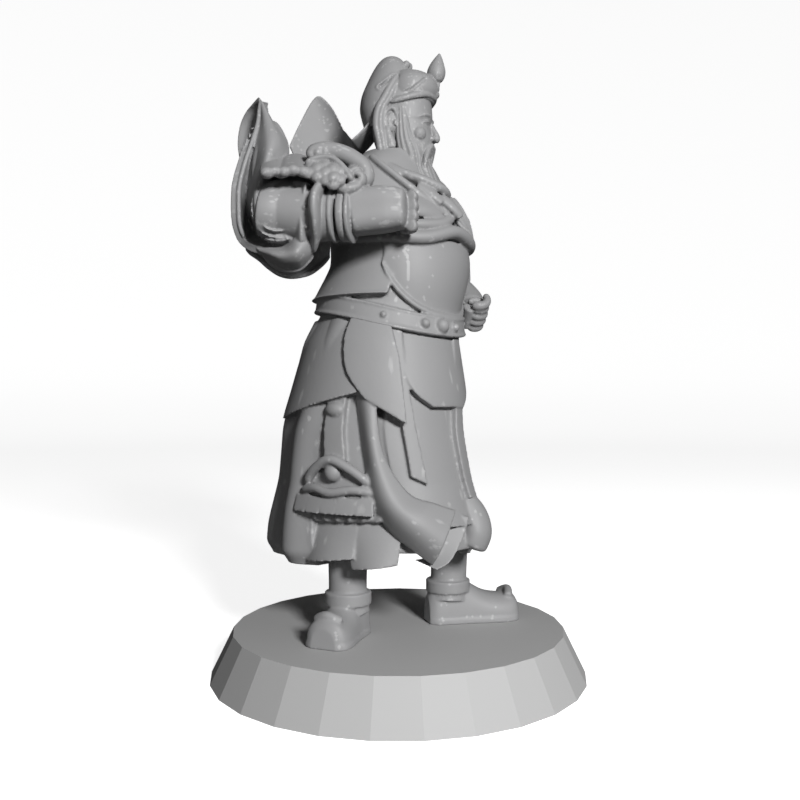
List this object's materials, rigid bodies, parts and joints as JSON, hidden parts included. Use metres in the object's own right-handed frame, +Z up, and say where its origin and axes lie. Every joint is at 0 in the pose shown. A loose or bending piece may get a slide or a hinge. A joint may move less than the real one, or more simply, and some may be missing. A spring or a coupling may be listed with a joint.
{
  "type": "warrior figurine",
  "caption": "Bearded warrior in armour and an open robe, one arm raised before the chest, standing on a round faceted base. A small resin tabletop figure.",
  "frame": {"origin": "middle of the base's underside", "axes": "+Z up, -Y the way the figure's belly faces, +X the figure's left side"},
  "size_m": [0.0249, 0.025, 0.0414],
  "materials": {
    "figure_resin": "satin grey casting resin, unpainted",
    "base_resin": "satin grey casting resin, unpainted"
  },
  "bodies": {
    "root": {"warrior_figure": "figure_resin", "round_base": "base_resin"}
  },
  "joints": []
}
